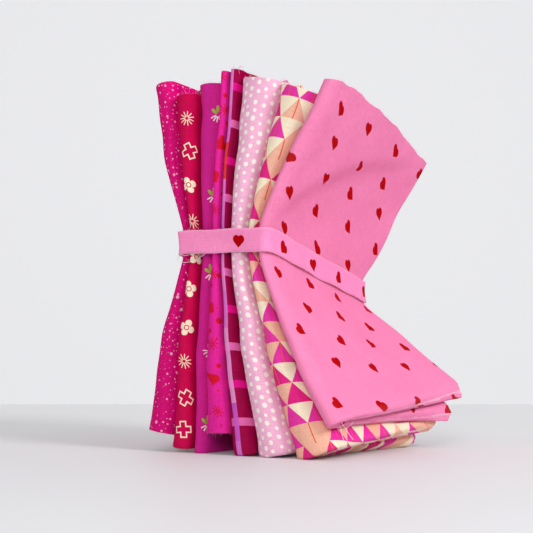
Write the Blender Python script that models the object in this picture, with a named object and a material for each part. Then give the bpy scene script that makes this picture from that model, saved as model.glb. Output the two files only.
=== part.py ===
"""A bundle of eight folded fat quarters, standing on edge and tied round the middle.

Frame: +X runs across the stack, the folded fronts face -Y, +Z is up and z = 0 is the table.
Every table below is in millimetres, from the strip's left end at the front of the stack. The
meshes are made in metres and set with the middle of the footprint at the origin.

Each fat quarter is one cotton sheet of 18 by 22 inches, folded to half its height and a
quarter of its width. Its solid is one back-and-forth section: an outer and an inner layer that
meet in a roll at one end, both folded once more round the front edge, so four layers stand
side by side. The strip squeezes all eight in the middle and they fan out above and below it.
"""

import math
from collections import namedtuple

import bmesh
import bpy
from mathutils import Matrix, Vector

MM = 0.001

# The folded fat quarter is a quarter of 22 inches deep.
FOLDED_DEPTH = 139.7
LAYER_THICKNESS = 1.0
LAYER_MARGIN = 0.85  # from a divider to the middle of the nearest layer

# The strip round the middle slopes down towards the back.
TIE_WIDTH = 14.0
TIE_THICKNESS = 1.0
TIE_FRONT_HEIGHT = 125.0
TIE_BACK_HEIGHT = 100.0
TIE_STANDOFF = 0.6  # from the outermost dividers to the middle of the strip's cloth
TIE_FRONT_DEPTH = 0.3
TIE_BACK_LEFT_DEPTH = 130.5
TIE_BACK_RIGHT_DEPTH = 132.5
TIE_CORNER_RADIUS = 2.0
TIE_FRONT_RIGHT_RADIUS = 5.0
TIE_SIDE_STEPS = 6
TIE_CORNER_STEPS = 4

# Under the strip the cloth stays flat, then it bends away within a few millimetres.
FLAT_HALF_HEIGHT = 5.0
BEND_EASE = 6.0
TOP_LEVEL = 217.5
FOOT_LEVEL = 7.5
TWIST_POWER = 1.5  # the fan of the back edges gathers in the last part of the depth

# The strip draws the front edges and the loose back edges in.
DRAWN_IN_FRONT = 2.0
DRAWN_IN_BACK = 12.0
DRAWN_IN_REACH = 18.0

FOOT_TILT = 0.9  # share of the fan angle that the foot of a folded quarter follows
PRESSED_BELOW = 0.35  # cloth nearer to the table than this bears on it

# A divider is the surface between two neighbouring quarters: its place across the stack
# under the strip, at the top level and at the foot level, on the front and on the back, and
# how far it bows out between the strip and each end.
Divider = namedtuple(
    "Divider", "pinch top foot top_bow foot_bow back_pinch back_top back_foot"
)
DIVIDERS = (
    Divider(2.0, -19.5, -25.0, -3.0, -4.0, 5.0, -16.0, -24.0),
    Divider(7.8, -4.5, -4.8, -1.0, -1.5, 10.8, 0.0, -3.0),
    Divider(13.9, 11.6, 9.0, 0.0, 0.0, 17.0, 14.0, 12.0),
    Divider(24.2, 31.3, 19.6, 0.0, 0.0, 23.5, 32.0, 26.0),
    Divider(30.1, 37.3, 38.2, 0.0, 0.0, 29.3, 41.0, 44.0),
    Divider(36.1, 44.1, 54.5, 0.0, -0.5, 35.1, 53.0, 64.0),
    Divider(48.7, 71.5, 78.0, 0.0, -1.5, 42.2, 77.0, 90.0),
    Divider(56.2, 103.0, 107.5, 0.0, -3.5, 49.0, 100.0, 132.0),
    Divider(64.8, 116.0, 124.0, 0.0, -4.0, 57.8, 120.0, 171.0),
)

# A quarter: the heights of its top and its foot at the front and at the back, how much its top
# tilts with the fan, how far its two halves reach to the back, how far its front edge stands
# behind the stack's front, how deep that edge's rounding is, and whether its roll is at the top.
Quarter = namedtuple(
    "Quarter",
    "name crown crown_back foot foot_back crown_tilt left_reach right_reach setback rounding"
    " roll_up",
)
QUARTERS = (
    Quarter("quarter_1_speckled", 225.5, 209.5, 12, 10.5, 0.9, 128, 137, 1.0, 5.0, True),
    Quarter("quarter_2_flowers", 215.5, 202.5, 2.5, 1.5, 0.9, 126, 138, 0.0, 6.0, False),
    Quarter("quarter_3_sprigs", 221.5, 207.5, 0, 0, 0.9, 124, 136, 4.0, 5.0, False),
    Quarter("quarter_4_dots", 226.5, 212.5, 12.5, 9.5, 0.9, 127, 138, 0.0, 4.5, True),
    Quarter("quarter_5_plaid", 226.5, 211.5, 0.5, 0, 0.9, 125, 137, 1.0, 5.0, False),
    Quarter("quarter_6_dotted", 219.5, 205.5, 0.8, 1.5, 0.9, 122, 134, 0.0, 8.0, False),
    Quarter("quarter_7_triangles", 211.5, 193.5, 1.8, 8, 0.9, 110, 118, 1.0, 8.0, False),
    Quarter("quarter_8_hearts", 212.5, 184.5, 19.5, 27, 0.2, 123, 139.7, 0.0, 6.0, False),
)
COLOURS = {
    "quarter_1_speckled": (0.75, 0.006, 0.25),
    "quarter_2_flowers": (0.59, 0.003, 0.08),
    "quarter_3_sprigs": (0.6, 0.03, 0.28),
    "quarter_4_dots": (0.77, 0.02, 0.33),
    "quarter_5_plaid": (0.37, 0.0, 0.07),
    "quarter_6_dotted": (0.86, 0.4, 0.64),
    "quarter_7_triangles": (0.9, 0.5, 0.42),
    "quarter_8_hearts": (0.96, 0.2, 0.45),
    "tie_strip": (0.95, 0.25, 0.52),
}

# Where every layer has its cross sections: heights above and below the strip's middle, and
# depths behind the front of the stack. Each layer also has one at each of its own ends.
RISES = (8.0, 15.0, 40.0)
FALLS = (8.0, 15.0, 28.0, 50.0)
DEPTHS = (45.0, 90.0)
NOSE_STEPS = 4
ROLL_STEPS = 3

COTTON_ROUGHNESS = 0.85
CREASE_DEGREES = 50.0  # sharper edges than this are shaded as creases


def mix(start, end, share):
    return start + (end - start) * share


def depth_share(y):
    return min(max(y / FOLDED_DEPTH, 0.0), 1.0)


def tie_height(y):
    """Height of the middle of the strip at this depth."""
    return mix(TIE_FRONT_HEIGHT, TIE_BACK_HEIGHT, depth_share(y))


def away_from_strip(rise):
    """How far the fan has opened at a height above or below the strip, before scaling."""
    past = max(abs(rise) - FLAT_HALF_HEIGHT, 0.0)
    return math.hypot(past, BEND_EASE) - BEND_EASE


def divider_x(divider, y, z):
    """Where a divider stands across the stack at this depth and height."""
    back = depth_share(y)
    middle = tie_height(y)
    if z >= middle:
        level, front_end, back_end, bow = TOP_LEVEL, divider.top, divider.back_top, divider.top_bow
    else:
        level, front_end, back_end, bow = FOOT_LEVEL, divider.foot, divider.back_foot, divider.foot_bow
    share = away_from_strip(z - middle) / away_from_strip(level - middle)
    pinch = mix(divider.pinch, divider.back_pinch, back)
    end = mix(front_end, back_end, back**TWIST_POWER)
    return mix(pinch, end, share) + bow * math.sin(math.pi * min(share, 1.0))


def divider_slant(divider, y, z):
    """Length of the divider's surface for each millimetre of height."""
    return math.hypot(1.0, (divider_x(divider, y, z + 1.0) - divider_x(divider, y, z - 1.0)) / 2.0)


def slot_x(number, across, y, z):
    """A place across one quarter's slot: 0 is its leftmost layer and 1 its rightmost."""
    left, right = DIVIDERS[number], DIVIDERS[number + 1]
    start = divider_x(left, y, z) + LAYER_MARGIN * divider_slant(left, y, z)
    end = divider_x(right, y, z) - LAYER_MARGIN * divider_slant(right, y, z)
    return mix(start, end, across)


def end_height(number, at_top, across, y):
    """Height of one end of a quarter, tilted with the fan."""
    quarter = QUARTERS[number]
    back = depth_share(y)
    if at_top:
        end = mix(quarter.crown, quarter.crown_back, back**TWIST_POWER)
        tilt = quarter.crown_tilt
    else:
        end = mix(quarter.foot, quarter.foot_back, back)
        tilt = FOOT_TILT
    middle = tie_height(y)
    lean = (slot_x(number, 0.5, y, end) - slot_x(number, 0.5, y, middle)) / (end - middle)
    offset = slot_x(number, across, y, end) - slot_x(number, 0.5, y, end)
    return end - tilt * lean * offset


def drawn_in(x, y, z):
    """Moves a place with the strip's pull on the front and back edges."""
    pull = math.exp(-(((z - tie_height(y)) / DRAWN_IN_REACH) ** 2))
    back = depth_share(y)
    y += pull * (DRAWN_IN_FRONT * (1.0 - back) - DRAWN_IN_BACK * back)
    return x, y, z


def layer_across(inner, side):
    """Place of a layer across the slot: inner is 0 for the outer layer and 1 for the inner one."""
    return 0.5 + side * (0.5 - inner / 3.0)


def plan_stations(quarter):
    """Stops along a layer, from the left half's back edge round the front to the right's.

    Each stop gives the side, from -1 on the left half to 1 on the right half, the depth of
    the stop, and how far in front of it the rounding carries the outer layer.
    """
    centre = quarter.setback + quarter.rounding
    stations = [(-1.0, depth, 0.0) for depth in (quarter.left_reach, *reversed(DEPTHS))]
    for step in range(NOSE_STEPS + 1):
        angle = math.pi * (step / NOSE_STEPS - 0.5)
        stations.append((math.sin(angle), centre, quarter.rounding * math.cos(angle)))
    stations += [(1.0, depth, 0.0) for depth in (*DEPTHS, quarter.right_reach)]
    return stations


def courses(quarter):
    """Stops along the outer layer from its open end to the roll, and back up the inner one.

    Each stop gives the inner share, whether it is above the strip, its distance from the
    strip's middle (none at an end), and how far round the roll it is.
    """
    rises = [(True, rise) for rise in RISES]
    falls = [(False, fall) for fall in FALLS]
    open_side, roll_side = (falls, rises) if quarter.roll_up else (rises, falls)
    above = not quarter.roll_up
    straight = [(above, None), *reversed(open_side), *roll_side, (not above, None)]
    stops = [(0.0, up, distance, 0.0) for up, distance in straight]
    for step in range(1, ROLL_STEPS):
        angle = math.pi * step / ROLL_STEPS
        stops.append(((1.0 - math.cos(angle)) / 2.0, not above, None, math.sin(angle)))
    stops += [(1.0, up, distance, 0.0) for up, distance in reversed(straight)]
    return stops


def layer_point(number, station, course):
    """The middle of the cloth at one stop along a layer and one stop up it."""
    quarter = QUARTERS[number]
    side, depth, forward = station
    inner, above, distance, beyond = course
    across = layer_across(inner, side)
    y = depth - forward * (1.0 - inner * 2.0 / 3.0)
    outward = 1.0 if above else -1.0
    if distance is None:
        z = end_height(number, above, across, y)
        if above == quarter.roll_up:
            breadth = slot_x(number, 1.0, y, z) - slot_x(number, 0.0, y, z)
            z -= outward * (1.0 - beyond) * breadth / 6.0
    else:
        z = tie_height(y) + outward * distance
    z = max(z, LAYER_THICKNESS / 2.0)
    return drawn_in(slot_x(number, across, y, z), y, z)


def make_material(name, colour, roughness):
    material = bpy.data.materials.new(name)
    material.use_nodes = True
    shader = material.node_tree.nodes["Principled BSDF"]
    shader.inputs["Base Color"].default_value = (*colour, 1.0)
    shader.inputs["Roughness"].default_value = roughness
    shader.inputs["Metallic"].default_value = 0.0
    return material


def add_object(name, mesh):
    mesh.shade_smooth()
    mesh.set_sharp_from_angle(angle=math.radians(CREASE_DEGREES))
    mesh.materials.append(make_material(name + "_cotton", COLOURS[name], COTTON_ROUGHNESS))
    made = bpy.data.objects.new(name, mesh)
    bpy.context.scene.collection.objects.link(made)
    return made


def triangles(a, b, c, d):
    """Splits four neighbouring places on the diagonal that climbs from front to back.

    Layers that lie side by side are split alike, so their facets never cross.
    """
    if (c[1] - a[1]) * (c[2] - a[2]) > 0.0:
        return (a, b, c), (a, c, d)
    return (a, b, d), (b, c, d)


def pressed_flat(place):
    """Sets a place that is nearly down on the table flat on it."""
    return Vector((place.x, place.y, 0.0)) if place.z < PRESSED_BELOW * MM else place


def sheet_solid(name, rows, thickness, looped=False):
    """A closed sheet of even thickness round a grid of places in millimetres.

    A looped sheet joins the end of each row to its start.
    """
    sheet = bmesh.new()
    grid = [[sheet.verts.new([value * MM for value in place]) for place in row] for row in rows]
    if looped:
        grid = [row + row[:1] for row in grid]
    for lower, upper in zip(grid, grid[1:]):
        for corners in zip(lower, lower[1:], upper[1:], upper):
            places = {tuple(vert.co): vert for vert in corners}
            for triangle in triangles(*places):
                sheet.faces.new([places[place] for place in triangle])
    sheet.normal_update()
    offset = thickness * MM / 2.0
    solid = bmesh.new()
    near = {}
    far = {}
    for vert in sheet.verts:
        near[vert] = solid.verts.new(pressed_flat(vert.co + vert.normal * offset))
        far[vert] = solid.verts.new(pressed_flat(vert.co - vert.normal * offset))
    for face in sheet.faces:
        solid.faces.new([near[vert] for vert in face.verts])
        solid.faces.new([far[vert] for vert in reversed(face.verts)])
    for edge in sheet.edges:
        if edge.is_boundary:
            first, second = edge.verts
            solid.faces.new((near[first], near[second], far[second]))
            solid.faces.new((near[first], far[second], far[first]))
    bmesh.ops.recalc_face_normals(solid, faces=solid.faces)
    mesh = bpy.data.meshes.new(name)
    solid.to_mesh(mesh)
    solid.free()
    sheet.free()
    return mesh


def make_quarter(number):
    quarter = QUARTERS[number]
    stations = plan_stations(quarter)
    rows = [[layer_point(number, station, course) for station in stations] for course in courses(quarter)]
    mesh = sheet_solid(quarter.name, rows, LAYER_THICKNESS)
    return add_object(quarter.name, mesh)


def undrawn_depth(y):
    """The depth from which the strip has drawn in the cloth that now lies at this one."""
    drawn_share = (DRAWN_IN_FRONT + DRAWN_IN_BACK) / FOLDED_DEPTH
    return (y - DRAWN_IN_FRONT) / (1.0 - drawn_share)


def strip_side(divider, outward, y):
    """Place of the strip's cloth beside the stack, clear of the bend at both its edges."""
    depth = undrawn_depth(y)
    middle = tie_height(depth)
    places = [divider_x(divider, depth, middle + rise) for rise in (-FALLS[0], 0.0, RISES[0])]
    furthest = max(places) if outward > 0.0 else min(places)
    return furthest + outward * TIE_STANDOFF


def corner(x, y, radius, start_angle):
    """A quarter turn of the strip round a centre, anticlockwise as seen from above."""
    for step in range(TIE_CORNER_STEPS + 1):
        angle = math.radians(start_angle + 90.0 * step / TIE_CORNER_STEPS)
        yield x + radius * math.cos(angle), y + radius * math.sin(angle)


def side_run(divider, outward, start, end):
    """The strip's straight run beside the stack, without its two ends."""
    for step in range(1, TIE_SIDE_STEPS):
        y = mix(start, end, step / TIE_SIDE_STEPS)
        yield strip_side(divider, outward, y), y


def strip_plan():
    """The strip's route round the stack as seen from above, anticlockwise from the front left."""
    small, large = TIE_CORNER_RADIUS, TIE_FRONT_RIGHT_RADIUS
    left, right = DIVIDERS[0], DIVIDERS[-1]
    front_left = TIE_FRONT_DEPTH + small
    front_right = TIE_FRONT_DEPTH + large
    back_right = TIE_BACK_RIGHT_DEPTH - small
    back_left = TIE_BACK_LEFT_DEPTH - small
    return [
        *corner(strip_side(left, -1.0, front_left) + small, front_left, small, 180.0),
        *corner(strip_side(right, 1.0, front_right) - large, front_right, large, 270.0),
        *side_run(right, 1.0, front_right, back_right),
        *corner(strip_side(right, 1.0, back_right) - small, back_right, small, 0.0),
        *corner(strip_side(left, -1.0, back_left) + small, back_left, small, 90.0),
        *side_run(left, -1.0, back_left, front_left),
    ]


def make_tie():
    """The strip of the hearts cotton, a closed band drawn tight round all eight quarters."""
    plan = strip_plan()
    rows = []
    for edge in (-0.5, 0.0, 0.5):
        rows.append([(x, y, tie_height(undrawn_depth(y)) + edge * TIE_WIDTH) for x, y in plan])
    mesh = sheet_solid("tie_strip", rows, TIE_THICKNESS, looped=True)
    return add_object("tie_strip", mesh)


def centre_on_table(made):
    """Sets the bundle on the table with the middle of its footprint at the origin."""
    places = [vert.co for part in made for vert in part.data.vertices]
    low = [min(place[axis] for place in places) for axis in range(3)]
    high = [max(place[axis] for place in places) for axis in range(3)]
    shift = Vector((-(low[0] + high[0]) / 2.0, -(low[1] + high[1]) / 2.0, -low[2]))
    for part in made:
        part.data.transform(Matrix.Translation(shift))


for old in list(bpy.data.objects):
    bpy.data.objects.remove(old)
bundle = [make_quarter(index) for index in range(len(QUARTERS))]
bundle.append(make_tie())
centre_on_table(bundle)
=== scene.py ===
"""A bundle of eight folded fat quarters, tied round the middle with a strip of the hearts cotton.

Each fat quarter is the whole sheet of 22 by 18 inches, folded in half from side to side, then
from top to bottom, and then round its front edge, so eight plies stand in each one. The places
below are in millimetres from the strip's left end, as in the CAD source, and the meshes are made
in metres in the CAD's frame. The prints are drawn on the cloth in millimetres of cloth.
"""

import math
from collections import namedtuple

import bpy
import numpy as np
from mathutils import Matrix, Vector


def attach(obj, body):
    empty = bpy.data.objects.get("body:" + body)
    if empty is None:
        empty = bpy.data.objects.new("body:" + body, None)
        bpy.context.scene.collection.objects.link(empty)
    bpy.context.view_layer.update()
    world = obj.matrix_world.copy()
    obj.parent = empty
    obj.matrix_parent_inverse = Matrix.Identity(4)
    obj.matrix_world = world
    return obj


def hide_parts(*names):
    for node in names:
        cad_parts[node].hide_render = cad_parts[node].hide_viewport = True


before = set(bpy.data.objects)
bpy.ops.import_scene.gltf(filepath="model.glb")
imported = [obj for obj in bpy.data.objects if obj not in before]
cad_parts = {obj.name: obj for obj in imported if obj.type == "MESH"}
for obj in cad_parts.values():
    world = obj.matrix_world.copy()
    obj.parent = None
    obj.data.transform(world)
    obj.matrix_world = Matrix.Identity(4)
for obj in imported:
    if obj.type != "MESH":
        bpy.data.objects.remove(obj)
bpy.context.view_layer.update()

MM = 0.001
FRAME_CENTRE = (49.8173, 69.6326, 0.0)  # the CAD frame's origin, in the tables' millimetres

# ---------------------------------------------------------------- the stack, as the CAD has it
FOLDED_DEPTH = 139.7
TIE_WIDTH = 14.0
TIE_FRONT_HEIGHT = 125.0
TIE_BACK_HEIGHT = 100.0
FLAT_HALF_HEIGHT = 5.0
BEND_EASE = 6.0
TOP_LEVEL = 217.5
FOOT_LEVEL = 7.5
TWIST_POWER = 1.5
DRAWN_IN_FRONT = 2.0
DRAWN_IN_BACK = 12.0
DRAWN_IN_REACH = 18.0
FOOT_TILT = 0.9

Divider = namedtuple(
    "Divider", "pinch top foot top_bow foot_bow back_pinch back_top back_foot"
)
DIVIDERS = (
    Divider(2.0, -19.5, -25.0, -3.0, -4.0, 5.0, -16.0, -24.0),
    Divider(7.8, -4.5, -4.8, -1.0, -1.5, 10.8, 0.0, -3.0),
    Divider(13.9, 11.6, 9.0, 0.0, 0.0, 17.0, 14.0, 12.0),
    Divider(24.2, 31.3, 19.6, 0.0, 0.0, 23.5, 32.0, 26.0),
    Divider(30.1, 37.3, 38.2, 0.0, 0.0, 29.3, 41.0, 44.0),
    Divider(36.1, 44.1, 54.5, 0.0, -0.5, 35.1, 53.0, 64.0),
    Divider(48.7, 71.5, 78.0, 0.0, -1.5, 42.2, 77.0, 90.0),
    Divider(56.2, 103.0, 107.5, 0.0, -3.5, 49.0, 100.0, 132.0),
    Divider(64.8, 116.0, 124.0, 0.0, -4.0, 57.8, 120.0, 171.0),
)
Quarter = namedtuple(
    "Quarter",
    "name crown crown_back foot foot_back crown_tilt left_reach right_reach setback rounding"
    " roll_up",
)
QUARTERS = (
    Quarter("quarter_1_speckled", 225.5, 209.5, 12, 10.5, 0.9, 128, 137, 1.0, 6.5, True),
    Quarter("quarter_2_flowers", 215.5, 202.5, 2.5, 1.5, 0.9, 126, 138, 0.0, 7.5, False),
    Quarter("quarter_3_sprigs", 221.5, 207.5, 0, 0, 0.9, 124, 136, 3.0, 8.0, False),
    Quarter("quarter_4_dots", 226.5, 212.5, 12.5, 9.5, 0.9, 127, 138, 0.0, 6.0, True),
    Quarter("quarter_5_plaid", 226.5, 211.5, 0.5, 0, 0.9, 125, 137, 1.0, 6.0, False),
    Quarter("quarter_6_dotted", 219.5, 205.5, 0.8, 1.5, 0.9, 122, 134, 0.0, 9.5, False),
    Quarter("quarter_7_triangles", 211.5, 193.5, 1.8, 8, 0.9, 110, 118, 1.0, 9.5, False),
    Quarter("quarter_8_hearts", 212.5, 184.5, 19.5, 27, 0.2, 123, 139.7, 0.0, 9.5, False),
)

# ---------------------------------------------------------------- the cloth
COTTON_THICKNESS = 0.34
LAYER_MARGIN = 0.42  # from a divider to the middle of the nearest ply
PLY_STEPS = 7.0  # eight plies stand across a quarter
NOSE_COLUMNS = 16
SIDE_COLUMNS = 30
CREASE_COLUMNS = 7
HALF_ROWS = 36
ROLL_ROWS = 12
ROLL_SQUARENESS = 0.55
ROLL_RADIUS_MOST = 4.6
SAMPLE_EASE = 1.7  # above 1, columns and rows crowd towards the folds and the strip
INNER_ROLL_SHARE = 0.4  # the inner roll's greatest radius, as a share of the outer one's
NOSE_NESTING = 0.24  # how much less each ply's front fold sticks out than the one outside it
LEFT_STAGGER = 0.9  # how far the back edge of each ply stands past the one outside it
RIGHT_STAGGER = -0.5
OPEN_END_STAGGER = 0.5
FLOOR_CLEARANCE = 0.03
STILL_REACH = 22.0  # the cloth lies smoother within this distance of the strip
PLY_WAVE_MOST = 2.0
NOSE_WEAR = 0.6  # how much a front fold is worn, beside a roll's 1


def mix(start, end, share):
    return start + (end - start) * share


def depth_share(y):
    return np.clip(y / FOLDED_DEPTH, 0.0, 1.0)


def tie_height(y):
    return mix(TIE_FRONT_HEIGHT, TIE_BACK_HEIGHT, depth_share(y))


def away_from_strip(rise):
    past = np.maximum(np.abs(rise) - FLAT_HALF_HEIGHT, 0.0)
    return np.hypot(past, BEND_EASE) - BEND_EASE


def divider_x(divider, y, z):
    """Where a divider stands across the stack at each depth and height."""
    back = depth_share(y)
    middle = tie_height(y)
    above = z >= middle
    level = np.where(above, TOP_LEVEL, FOOT_LEVEL)
    front_end = np.where(above, divider.top, divider.foot)
    back_end = np.where(above, divider.back_top, divider.back_foot)
    bow = np.where(above, divider.top_bow, divider.foot_bow)
    share = away_from_strip(z - middle) / away_from_strip(level - middle)
    pinch = mix(divider.pinch, divider.back_pinch, back)
    end = mix(front_end, back_end, back**TWIST_POWER)
    return mix(pinch, end, share) + bow * np.sin(np.pi * np.minimum(share, 1.0))


def divider_slant(divider, y, z):
    return np.hypot(1.0, (divider_x(divider, y, z + 1.0) - divider_x(divider, y, z - 1.0)) / 2.0)


def slot_x(number, across, y, z):
    """A place across one quarter's slot: 0 is its leftmost ply and 1 its rightmost."""
    left, right = DIVIDERS[number], DIVIDERS[number + 1]
    start = divider_x(left, y, z) + LAYER_MARGIN * divider_slant(left, y, z)
    end = divider_x(right, y, z) - LAYER_MARGIN * divider_slant(right, y, z)
    return mix(start, end, across)


def end_height(number, at_top, across, y):
    """Height of one end of a quarter, tilted with the fan."""
    quarter = QUARTERS[number]
    back = depth_share(y)
    if at_top:
        end = mix(quarter.crown, quarter.crown_back, back**TWIST_POWER)
        tilt = quarter.crown_tilt
    else:
        end = mix(quarter.foot, quarter.foot_back, back)
        tilt = FOOT_TILT
    middle = tie_height(y)
    lean = (slot_x(number, 0.5, y, end) - slot_x(number, 0.5, y, middle)) / (end - middle)
    offset = slot_x(number, across, y, end) - slot_x(number, 0.5, y, end)
    return end - tilt * lean * offset


def drawn_in(y, z):
    pull = np.exp(-(((z - tie_height(y)) / DRAWN_IN_REACH) ** 2))
    back = depth_share(y)
    return y + pull * (DRAWN_IN_FRONT * (1.0 - back) - DRAWN_IN_BACK * back)


# ---------------------------------------------------------------- soft unevenness
# A smooth unevenness is a sum of waves. Each wave has a direction with its wave number in
# radians for each millimetre, a phase, and a size in millimetres.
Wave = namedtuple("Wave", "x y z phase size")
STACK_WAVES = (
    Wave(0.020, 0.045, 0.060, 0.4, 0.50),
    Wave(-0.030, 0.075, -0.040, 2.1, 0.35),
    Wave(0.015, -0.040, 0.110, 4.4, 0.28),
    Wave(0.040, 0.120, 0.065, 1.2, 0.20),
)
CLOTH_WAVES = (
    Wave(0.0, 0.21, 0.13, 0.9, 0.10),
    Wave(0.0, -0.16, 0.29, 3.3, 0.08),
    Wave(0.0, 0.37, -0.11, 5.0, 0.06),
    Wave(0.0, 0.08, 0.19, 2.6, 0.14),
)
EDGE_WAVES = (
    Wave(0.0, 0.09, 0.0, 0.3, 0.55),
    Wave(0.0, 0.23, 0.0, 1.9, 0.30),
    Wave(0.0, 0.51, 0.0, 4.0, 0.16),
)
PHASE_PER_QUARTER = 1.7
PHASE_PER_PLY = 2.3


def waves(table, x, y, z, phase):
    total = np.zeros(np.broadcast(x, y, z, phase).shape)
    for wave in table:
        angle = wave.x * x + wave.y * y + wave.z * z + wave.phase + phase
        total = total + wave.size * np.sin(angle)
    return total


# The right face of the hearts quarter. A crease climbs from the strip towards the top corner at
# the back, and below it the cloth is drawn in towards the pinch.
CREASE_START = 135.5
CREASE_CLIMB = 56.0
CREASE_REACH = 55.0
CREASE_FLANK = 6.5
CREASE_FALL = 46.0
CREASE_DEPTH = 11.0
CREASE_MIDDLE = 62.0
CREASE_HALF_LENGTH = 42.0
INNER_CLEARANCE = 0.7  # extra, at the deepest, for the plies behind the face
MOST_DRAWN = 0.56  # share of a quarter's thickness that its face can be drawn in
DRAWN_POWER = 0.85  # how the drawing in fades from the face to the leftmost ply

# Softer hollows: each has its middle and half widths in depth and height, and a depth.
Hollow = namedtuple("Hollow", "y z along up depth")
HEARTS_HOLLOWS = (
    Hollow(110.0, 148.0, 24.0, 26.0, 4.5),
    Hollow(102.0, 82.0, 22.0, 24.0, 4.0),
    Hollow(46.0, 96.0, 10.0, 26.0, 1.3),
    Hollow(30.0, 176.0, 12.0, 30.0, 0.8),
    Hollow(70.0, 52.0, 30.0, 12.0, 0.9),
)


def hollowed(y, z):
    """How far the hearts quarter's right face is drawn in at each depth and height."""
    crease = CREASE_START + CREASE_CLIMB * (1.0 - np.exp(-y / CREASE_REACH))
    below = np.maximum(crease - z, 0.0)
    flank = 1.0 - np.exp(-((below / CREASE_FLANK) ** 2))
    fall = np.exp(-((below / CREASE_FALL) ** 2))
    total = CREASE_DEPTH * flank * fall * np.exp(-(((y - CREASE_MIDDLE) / CREASE_HALF_LENGTH) ** 2))
    for hollow in HEARTS_HOLLOWS:
        along, beside = (y - hollow.y) / hollow.along, (z - hollow.z) / hollow.up
        total = total + hollow.depth * np.exp(-(along**2) - beside**2)
    return total


# Corners of single plies that stand above the rest of their quarter.
Tip = namedtuple("Tip", "number ply side y half_width height")
TIPS = (
    Tip(1, 1, 1.0, 16.0, 7.0, 7.0),
    Tip(1, 2, -1.0, 9.0, 4.0, 3.5),
    Tip(2, 1, 1.0, 13.0, 1.6, 6.5),
    Tip(4, 1, 1.0, 52.0, 6.0, 8.0),
    Tip(5, 2, 1.0, 30.0, 8.0, 2.5),
    Tip(6, 1, -1.0, 20.0, 8.0, 2.5),
)


# ---------------------------------------------------------------- one folded fat quarter
def eased(count):
    """Shares from 0 to 1 that crowd towards both ends."""
    share = np.linspace(0.0, 1.0, count)
    low = 0.5 * (2.0 * np.minimum(share, 0.5)) ** SAMPLE_EASE
    high = 0.5 * (2.0 * np.minimum(1.0 - share, 0.5)) ** SAMPLE_EASE
    return np.where(share <= 0.5, low, 1.0 - high)


def sheet_columns():
    """Stops along the sheet: the fold from side to side, the side, the nose and the depth."""
    nose = np.linspace(-0.5, 0.5, NOSE_COLUMNS + 1) * math.pi
    run = eased(SIDE_COLUMNS)[1:]
    there = [(0.0, 0.0, -1.0, 0.0, share) for share in run[::-1]]
    there += [(0.0, 0.0, math.sin(angle), math.cos(angle), 0.0) for angle in nose]
    there += [(0.0, 0.0, 1.0, 0.0, share) for share in run]
    turn = [math.pi * step / CREASE_COLUMNS for step in range(1, CREASE_COLUMNS)]
    crease = [((1.0 - math.cos(t)) / 2.0, math.sin(t), 1.0, 0.0, 1.0) for t in turn]
    back = [(1.0, *stop[1:]) for stop in there[::-1]]
    return np.array(there + crease + back).T


def squared(share):
    """Turns a round fold into one with a flatter end and pressed corners."""
    return math.copysign(abs(share) ** ROLL_SQUARENESS, share)


def sheet_rows():
    """Stops up the sheet: the fold from top to bottom, how far round it, and the height."""
    half = eased(HALF_ROWS) * 0.5
    climb = np.concatenate([half, 0.5 + half[1:]])
    turn = [math.pi * step / ROLL_ROWS for step in range(1, ROLL_ROWS)]
    up = [(0.0, 0.0, share) for share in climb]
    roll = [(0.5 - 0.5 * squared(math.cos(t)), squared(math.sin(t)), 1.0) for t in turn]
    down = [(1.0, 0.0, share) for share in climb[::-1]]
    return np.array(up + roll + down).T


def lengths_along(places, axis):
    """Length along the cloth from its first column or row to each of the others."""
    steps = np.linalg.norm(np.diff(places, axis=axis), axis=2)
    pad = [(0, 0), (0, 0)]
    pad[axis] = (1, 0)
    return np.cumsum(np.pad(steps, pad), axis=axis)


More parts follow.
